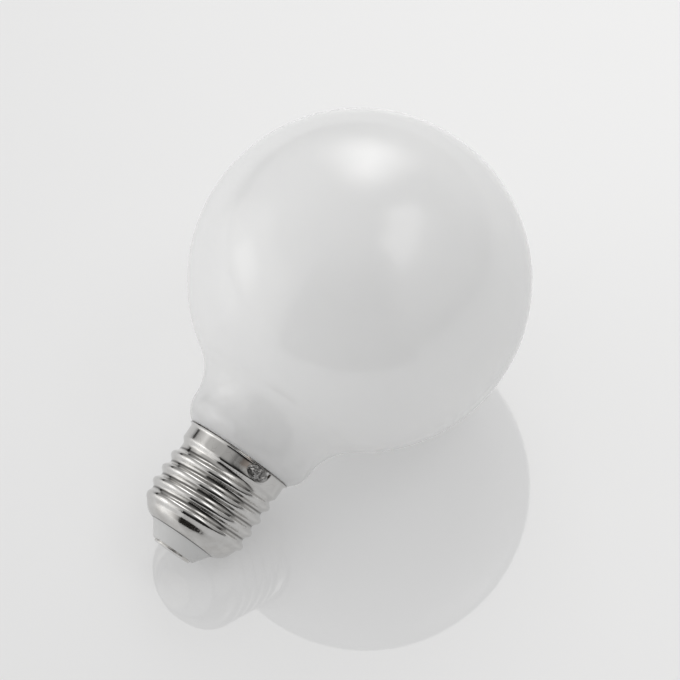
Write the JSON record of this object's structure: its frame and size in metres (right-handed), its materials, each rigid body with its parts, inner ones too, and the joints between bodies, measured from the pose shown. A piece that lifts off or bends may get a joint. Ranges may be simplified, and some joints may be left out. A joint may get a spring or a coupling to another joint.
{
  "type": "globe bulb",
  "caption": "Globe bulb: a sealed opal white glass sphere on a short neck, held in a bright plated screw cap with a round right-hand thread, a pale cone insulator and an end contact.",
  "frame": {"origin": "middle of the end contact's outer face, where the cap seats in its holder", "axes": "+Z along the bulb's axis from the end contact to the crown of the globe; the solder joint on the cap's band lies towards -Y and +X"},
  "size_m": [0.08, 0.08, 0.1165],
  "materials": {
    "opal_glass": "milky white, satin gloss, can't be seen through",
    "plated_shell": "bright nickel plating on pressed sheet",
    "insulator": "pale grey-white, matt",
    "contact": "bright plating with fine scratches",
    "solder": "dull grey solder, uneven"
  },
  "bodies": {
    "root": {"glass_globe": "opal_glass", "screw_shell": "plated_shell", "insulator": "insulator", "centre_contact": "contact", "side_solder": "solder"}
  },
  "joints": []
}
